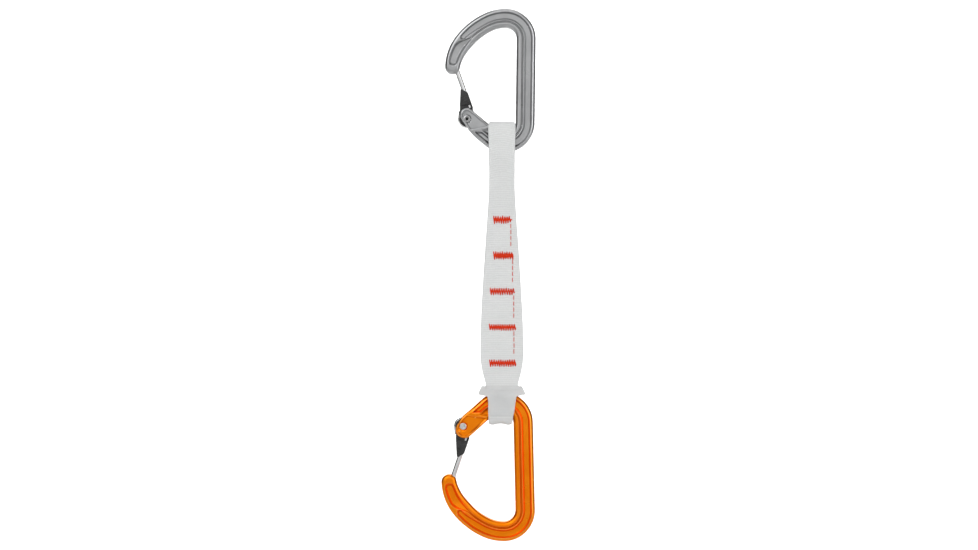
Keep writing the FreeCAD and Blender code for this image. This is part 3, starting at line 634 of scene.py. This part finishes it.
        # the round ends, from the tip inwards
        turns = np.radians([88.5, 84, 78, 70, 61, 51, 41, 31, 21, 10.5])
        cap(0, r0, -1, turns)
        for (p, n, _, d), length in zip(bar, lengths):
            rings.append(self.ring(p, n, d, length + r0, lambda across, d=d: min(across, d - across)))
        cap(len(bar) - 1, r1, 1, turns[::-1])
        body = smooth(skin(f"{self.prefix}_forging", rings))
        return carve(body, self.cutters())

    def cutters(self):
        """The fork's gap, the rivet's bore, and the slot in the nose for the wire and its head."""
        turn = np.linspace(0, 2 * math.pi, 72, endpoint=False)
        made = []
        for radius, half in ((9.4, 2.2), (1.52, 6.0)):
            x, z = self.pivot
            disc = [(x + radius * math.cos(a), z + radius * math.sin(a)) for a in turn]
            made.append(prism("round_cutter", disc, -half, half))
        far, top = 16, 34.2
        for near, low, half in ((2.35, 24.5, 1.8), (1.55, 30.6, 2.65)):
            corners = [self.gate(a, b) for a, b in ((near, low), (far, low), (far, top), (near, top))]
            made.append(prism("slot", [(c[0], c[2]) for c in corners], -half, half))
        return made

    def wire(self):
        """Gate wire: upset head, straight run, wrap round the rivet and a short tail in the cover."""
        eye = 4.15
        run = [self.gate(eye, b) for b in np.linspace(33.5, 0.4, 60)]
        wrap = []
        for a in np.radians(np.linspace(0, -206, 56)):
            wrap.append(self.gate(eye * math.cos(a), eye * math.sin(a)))
        way = wrap[-1] - wrap[-2]
        tail = [wrap[-1] + way / np.linalg.norm(way) * x for x in (1.2, 2.4, 3.6, 4.5)]
        points = run + wrap + tail
        radii = np.full(len(points), 1.5)
        radii[:5] = (1.9, 2.25, 2.3, 2.15, 1.65)
        return smooth(tube(f"{self.prefix}_wire", points, radii, 28), 60)

    def cover(self):
        """Moulded wedge over the foot of the gate: a thick cap, and a tongue between the ears."""
        right = 6.0
        cap = [(right, 7.7), (right, 15.4), (right - 0.5, 16.3), (2.9, 18.9), (2.2, 18.8), (-1.6, 9.2)]
        tongue = [(right, 5.4), (right, 15.4), (2.6, 16.5), (-1.7, 8.8), (-3.6, 3.5), (-4.2, 0.8),
                  (1.9, 0.8)]
        pieces = []
        for name, corners, half, soft in (("cap", cap, 2.7, 0.7), ("tongue", tongue, 1.85, 0.3)):
            flat = [self.gate(*c) for c in corners]
            piece = prism(name, [(c[0], c[2]) for c in flat], -half, half)
            smooth(piece)
            bevel = piece.modifiers.new("soft", "BEVEL")
            bevel.width, bevel.segments, bevel.limit_method = soft, 4, "ANGLE"
            pieces.append(apply_modifiers(piece))
        turn = np.linspace(0, 2 * math.pi, 48, endpoint=False)
        x, z = self.pivot
        hub = [(x + 4.8 * math.cos(a), z + 4.8 * math.sin(a)) for a in turn]
        pieces.append(smooth(prism("hub", hub, -1.57, 1.57)))
        windows = []
        for low, high in ((-3.0, -1.0), (1.0, 3.0)):
            corners = [self.gate(*c) for c in ((3.3, 6.1), (5.1, 6.1), (5.1, 7.9), (3.3, 7.9))]
            windows.append(prism("window", [(c[0], c[2]) for c in corners], low, high))
        carve(pieces[1], windows)
        ribs = []
        for b in (9.6, 11.4, 13.2, 15.0):
            for y in (-2.72, 2.72):
                run = np.linspace(0.4 + (b - 9) * 0.12, 5.2, 8)
                ends = [self.gate(a, b + 0.25 * (a - 3), y) for a in run]
                ribs.append(tube("rib", ends, [0.1] + [0.2] * 6 + [0.1], 8))
        return smooth(join(f"{self.prefix}_cover", pieces + ribs), 40)

    def rivet(self):
        """Rivet turned about its axis: a rolled hollow end, and a flat head with a dimple."""
        seat = self.HALF - self.PANEL_DEPTH
        rolled = [(0.0, 2.4), (0.4, 2.4), (0.85, 1.9), (0.95, 0.2), (1.0, -0.3), (1.1, -0.48),
                  (1.22, -0.5), (1.34, -0.36), (1.42, 0.12), (1.46, 0.14), (1.62, -0.25), (1.8, -0.46),
                  (2.0, -0.4), (2.13, 0.0), (1.49, 0.3)]
        headed = [(1.49, -0.3), (2.1, -0.05), (2.13, 0.2), (1.98, 0.46), (1.7, 0.56), (1.3, 0.58),
                  (1.1, 0.45), (0.98, 0.1), (0.9, -0.3), (0.0, -0.35)]
        profile = [(r, -seat + y) for r, y in rolled] + [(r, seat + y) for r, y in headed]
        turn = np.linspace(0, 2 * math.pi, 56, endpoint=False)
        rings = []
        for r, y in profile:
            r = max(r, 0.01)
            x, z = self.pivot
            rings.append([(x + r * math.cos(a), y, z + r * math.sin(a)) for a in turn])
        return smooth(skin(f"{self.prefix}_rivet", rings), 50)

    def build(self, forged, steel, rivet_steel, plastic, slot):
        fixed, moving = f"{self.prefix}_carabiner", f"{self.prefix}_gate"
        pieces = [
            (self.forging(), forged, fixed, slot, "frame"),
            (self.rivet(), rivet_steel, fixed, "rivet_steel", "gate_rivet"),
            (self.wire(), steel, moving, "gate_steel", "gate_wire"),
            (self.cover(), plastic, moving, "cover_plastic", "gate_cover"),
        ]
        for obj, material, body, name, node in pieces:
            dress(obj, material, body, [f"{self.prefix}_{node}"], self.place)


# ---------------------------------------------------------------- sling

def rounded(corners, radii, step):
    """Even samples along (y, z) corners, the inner ones rounded at the radii, and the run to each."""
    points = [np.array(corners[0], float)]
    for before, corner, after, radius in zip(corners, corners[1:], corners[2:], radii):
        a, b, c = (np.array(p, float) for p in (before, corner, after))
        u, v = (a - b) / np.linalg.norm(a - b), (c - b) / np.linalg.norm(c - b)
        half = math.acos(np.clip(u @ v, -1, 1)) / 2
        reach = min(radius / math.tan(half), 0.499 * min(np.linalg.norm(a - b), np.linalg.norm(c - b)))
        start, end = b + u * reach, b + v * reach
        centre = b + (u + v) / np.linalg.norm(u + v) * (reach / math.cos(half))
        r = np.linalg.norm(start - centre)
        w = np.linspace(0, 1, 24)[:, None]
        arc = (start - centre) * (1 - w) + (end - centre) * w
        points += list(centre + arc / np.linalg.norm(arc, axis=1)[:, None] * r)
    points.append(np.array(corners[-1], float))
    points = np.array(points)
    run = np.concatenate(([0], np.cumsum(np.linalg.norm(np.diff(points, axis=0), axis=1))))
    keep = np.concatenate(([True], np.diff(run) > 1e-6))
    wanted = np.linspace(0, run[-1], max(4, round(run[-1] / step)))
    return np.stack([np.interp(wanted, run[keep], points[keep, i]) for i in (0, 1)], axis=1), wanted


def strap(name, path, run, half_width, thickness, rib=0.0, bow=0.0, across=30, edge=0.45):
    """A band along a (y, z) path, as wide as half_width(z) each side of the axis, ribbed across.

    bow is how far the ribs bow along the band in their middle; edge is how wide its round edges are.
    """
    ways = np.gradient(path, axis=0)
    ways /= np.linalg.norm(ways, axis=1)[:, None]
    normals = np.stack((-ways[:, 1], ways[:, 0]), axis=1)
    rounds = np.linspace(-math.pi / 2, math.pi / 2, 7)
    rings, cloth = [], []
    for (y, z), normal, length in zip(path, normals, run):
        w = half_width(z)
        shares = np.linspace(-1, 1, across)
        ribs = np.sin(math.pi * (length + bow * (1 - shares ** 2)) / RIB_PITCH)
        lift = rib * (np.abs(ribs) ** 0.8 - 0.6)
        flat = shares * (w - edge)
        face = thickness / 2 + lift * np.clip((1 - np.abs(shares)) * 9, 0.25, 1)
        thick = np.concatenate((face, thickness / 2 * np.sin(-rounds[1:-1]), -face[::-1],
                                thickness / 2 * np.sin(rounds[1:-1])))
        wide = np.concatenate((flat, (w - edge) + edge * np.cos(rounds[1:-1]), flat[::-1],
                               -(w - edge) - edge * np.cos(rounds[1:-1])))
        ring = [(axis_at(z) + a, y + b * normal[0], z + b * normal[1]) for a, b in zip(wide, thick)]
        rings.append(ring)
        cloth.append([(a * MM, (length + bow * (1 - (a / w) ** 2)) * MM) for a in wide])
    return smooth(skin(name, np.array(rings) * MM, cloth), 50)


def axis_at(z):
    """X of the middle of the loop, which sits over to the gate side at its foot."""
    return AXIS - 0.9 * float(ease((-233 - z) / 16))


def width_table(*pairs):
    """A smooth half width from (z, half width) pairs that run downwards."""
    z = np.array([p[0] for p in pairs], float)
    w = np.array([p[1] for p in pairs], float)

    def at(height):
        i = int(np.clip(np.searchsorted(-z, -height) - 1, 0, len(z) - 2))
        share = np.clip((z[i] - height) / (z[i] - z[i + 1]), 0, 1)
        slopes = []
        for j in (i, i + 1):
            low, high = max(j - 1, 0), min(j + 1, len(z) - 1)
            slopes.append((w[high] - w[low]) / (z[low] - z[high]) * (z[i] - z[i + 1]))
        a, b = w[i], w[i + 1]
        s2, s3 = share ** 2, share ** 3
        return ((2 * s3 - 3 * s2 + 1) * a + (s3 - 2 * s2 + share) * slopes[0]
                + (3 * s2 - 2 * s3) * b + (s3 - s2) * slopes[1])

    return at


SLING_WIDTH = width_table(
    (-59.0, 7.4), (-59.5, 7.9), (-61, 8.5), (-66, 8.6), (-75, 8.3), (-100, 8.1), (-113, 8.75), (-146, 11.0),
    (-184, 13.15), (-200, 13.55), (-208, 13.45), (-215, 12.5), (-223, 10.45), (-228, 9.0), (-234, 7.4),
    (-250, 6.4))


def sling(material):
    """Four lengths of the loop, each reaching across one joint."""
    step = 0.27
    top = [(-3.44, -95), (-5.3, -79.7), (-5.3, -59.7), (5.3, -59.7), (5.3, -79.7), (3.44, -95)]
    front = [(-3.44, -95), (-0.65, -118.3), (-0.62, -205)]
    back = [(0.62, -205), (0.65, -118.3), (3.44, -95)]
    low = [(-0.62, -205), (-0.62, -221), (-5.7, -230.3), (-5.7, -247.9), (5.7, -247.9), (5.7, -230.3),
           (0.62, -221), (0.62, -205)]
    # name, corners, radii, bow of the ribs, the bodies it bends between, the Z where it starts and
    # stops bending, and its CAD node
    lengths = [
        ("sling_over_bar", top, (15, 3.1, 3.1, 15), -1.5,
         ("sling_top", "sling_legs"), (-65.7, -77.7), "sling_top_bend"),
        ("sling_front_layer", front, (40,), 0.4,
         ("sling_legs", "sling_strap"), (-108, -128), "sling_body"),
        ("sling_back_layer", back, (40,), -0.4,
         ("sling_legs", "sling_strap"), (-108, -128), "sling_upper_legs"),
        ("sling_under_bar", low, (9, 9, 5.69, 5.69, 9, 9), 0.3,
         ("sling_strap", "sling_end"), (-214, -228), "sling_lower_loop"),
    ]
    for name, corners, radii, bow, bodies, (start, end), node in lengths:
        path, run = rounded(corners, radii, step)
        piece = strap(name, path, run, SLING_WIDTH, WEBBING, rib=RIB, bow=bow)
        dress(piece, material, None, [node])
        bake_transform(piece)


def stitches(material):
    """Bar tacks of dense zigzag and a running stitch, on both faces."""
    # each tack runs from x0 to x1 and is about as tall as height
    rows = [(-5.2, 6.2, 4.9), (-5.2, 7.3, 5.0), (-7.3, 7.8, 4.3), (-7.9, 8.6, 4.0), (-7.7, 8.6, 4.3)]
    first, pitch = -120.8, 22.55        # Z of the first tack, and the step down to the next
    face = 1.26                         # Y of the outside of the cloth
    tack_thread, run_thread = 0.33, 0.2
    dice = random.Random(11)
    for n, (x0, x1, height) in enumerate(rows):
        parts = []
        for side in (-1, 1):
            # a tall zigzag, and a lower one beneath it
            for shift, lift, tall in ((0, 0.16, 1.0), (0.3, 0.04, 0.5)):
                points, x, up = [], x0 + shift, 1
                while x < x1:
                    tip = height / 2 * tall * (0.85 + 0.25 * dice.random())
                    # the first tack tapers off at its right end
                    if n == 0 and x > 3.9:
                        tip *= 0.6 if x < 4.5 else max(0.15, 1.15 * (x1 - x) / 1.7)
                    z = first - n * pitch + up * tip
                    y = side * (face + lift)
                    dip = side * (face - 0.25)
                    points += [(x, dip, z + up * 0.05), (x + 0.05, y, z - up * 0.35),
                               (x + 0.2, y, z - up * tip)]
                    x += 0.55 + 0.12 * dice.random() + 0.2 * (up < 0)
                    up = -up
                points = np.array(points) + (AXIS, 0, 0)
                parts.append(tube("thread", points * MM, tack_thread * MM, 7))
        piece = smooth(join(f"zigzag_tack_{n + 1}", parts), 70)
        dress(piece, material, "sling_strap", [f"bar_tack_{n + 1}"])
    parts = []
    stitch, step = 3.0, 3.75
    for n, x in enumerate((5.6, 6.7, 7.5, 7.6)):
        z, stop = first - n * pitch - 2.6, first - (n + 1) * pitch + 2.6
        while z - stitch > stop:
            for side in (-1, 1):
                wander = 0.12 * (dice.random() - 0.5)
                bow = [(0.0, -0.3), (0.12, 0.08), (0.3, 0.16), (1.3, 0.18), (2.3, 0.16), (2.5, 0.08),
                       (2.62, -0.3)]
                points = [(AXIS + x + wander, side * (face + up), z - down) for down, up in bow]
                parts.append(tube("thread", np.array(points) * MM, run_thread * MM, 8))
            z -= step
    piece = smooth(join("side_running_stitch", parts), 70)
    dress(piece, material, "sling_strap", ["running_stitch"])


def keeper(material):
    """Rubber keeper: a band round the lower loop that flares into two ears, moulded as one."""
    wall = [(-4.45, -225.6), (-6.95, -230.6), (-6.95, -249.1),
            (6.95, -249.1), (6.95, -230.6), (4.45, -225.6)]
    path, run = rounded(wall, (6, 6.9, 6.9, 6), 0.5)
    flare = width_table((-225.0, 11.9), (-226.6, 13.3), (-228.6, 14.2), (-230.3, 14.7), (-230.9, 13.4),
                        (-231.3, 10.0), (-232.4, 9.1), (-236, 8.6), (-241, 8.3), (-246, 7.6), (-250, 7.0))
    band = strap("keeper_band", path, run, flare, 1.3, across=40, edge=0.55)
    foot = [(-6.9, -244.6), (-6.9, -248.8), (6.9, -248.8), (6.9, -244.6)]
    lip_path, lip_run = rounded(foot, (6.6, 6.6), 0.5)
    lip_width = width_table((-244, 7.9), (-247, 7.6), (-250, 7.1))
    lip = strap("keeper_lip", lip_path, lip_run, lip_width, 1.75, edge=0.8)
    mouth = []
    for side in (-1, 1):
        rim, rim_run = rounded([(side * 4.3, -225.4), (side * 5.3, -227.4)], (), 0.4)
        rim_width = width_table((-225, 10.4), (-228, 10.6))
        mouth.append(strap("keeper_rim", rim, rim_run, rim_width, 1.9, edge=0.8))
    parts = [band, lip] + mouth
    # each ear is a skin over rounded sections: distance out, foot, top, half depth
    sections = ((10.6, -230.6, -225.3, 4.6), (11.6, -230.8, -225.6, 4.4), (12.8, -230.9, -226.5, 3.9),
                (13.8, -230.9, -227.8, 3.1), (14.6, -230.9, -229.3, 2.0))
    for side in (-1, 1):
        rings = []
        for x, low, high, half in sections:
            ring = []
            for a in np.linspace(0, 2 * math.pi, 32, endpoint=False):
                c, s = math.cos(a), math.sin(a)
                y = half * math.copysign(abs(c) ** 0.6, c)
                z = (low + high) / 2 + (high - low) / 2 * math.copysign(abs(s) ** 0.6, s)
                ring.append((AXIS + side * x, y, z))
            rings.append(ring)
        parts.append(smooth(skin("ear", np.array(rings) * MM)))
    whole = join("keeper_rubber_cup", parts)
    remesh = whole.modifiers.new("mould", "REMESH")
    remesh.mode, remesh.voxel_size = "VOXEL", 0.0003
    soften = whole.modifiers.new("soften", "SMOOTH")
    soften.factor, soften.iterations = 0.5, 4
    apply_modifiers(whole)
    # the foot is drawn up between two lobes
    for vertex in whole.data.vertices:
        x, z = vertex.co.x / MM - axis_at(vertex.co.z / MM), vertex.co.z / MM
        lobes = max(math.exp(-((x + 5.0) / 2.4) ** 2), math.exp(-((x - 4.9) / 2.2) ** 2))
        vertex.co.z += MM * 0.75 * (1 - lobes) * float(ease((-246 - z) / 3))
    dress(smooth(whole, 60), material, "sling_end", ["keeper"])


# ---------------------------------------------------------------- build

def build():
    steel = steel_material("gate_wire_steel", 0.72, 0.2, 0.05)
    rivet_steel = steel_material("rivet_steel", 0.66, 0.28, 1.0)
    spring_steel = steel_material("spring_steel", 0.5, 0.3, 1.0)
    plastic = plastic_material()
    grain = 0.27
    # the third colour of each is for the edges: wear, and painted highlight
    bare = forged_material("bare_alloy", (0.45, 0.455, 0.46), (0.37, 0.375, 0.38), (0.66, 0.66, 0.67), grain)
    orange = forged_material("orange_anodised", (1.0, 0.27, 0.008), (0.95, 0.215, 0.003), (1.0, 0.48, 0.09),
                             grain)
    # the lower one hangs upside down and leans a little
    hung = Matrix.Translation((-0.95 * MM, 0, -310.6 * MM))
    turned = hung @ Matrix.Rotation(math.radians(-0.6), 4, "Y") @ Matrix.Rotation(math.pi, 4, "X")
    upper = Carabiner("upper", Matrix.Identity(4), size=1.0, spine=52.5, arm_angle=39.2, arm=18.8,
                      offset=0.3, ear=4.1, ear_lead=2.55, flank=40.0)
    lower = Carabiner("lower", turned, size=1.03, spine=53.2, arm_angle=41.0, arm=18.2,
                      offset=1.3, ear=4.8, ear_lead=1.5, flank=12.0)
    upper.build(bare, steel, rivet_steel, plastic, "bare_alloy")
    lower.build(orange, steel, rivet_steel, plastic, "orange_alloy")
    # these small parts are shown as the CAD has them
    for node in ("gate_springs", "gate_bush"):
        for prefix in ("upper", "lower"):
            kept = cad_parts[f"{prefix}_{node}"]
            kept.data.materials.clear()
            kept.data.materials.append(spring_steel)
    sling(webbing_material())
    stitches(thread_material())
    keeper(rubber_material())


set_camera()
set_floor()
set_lamps()
set_world()
build()
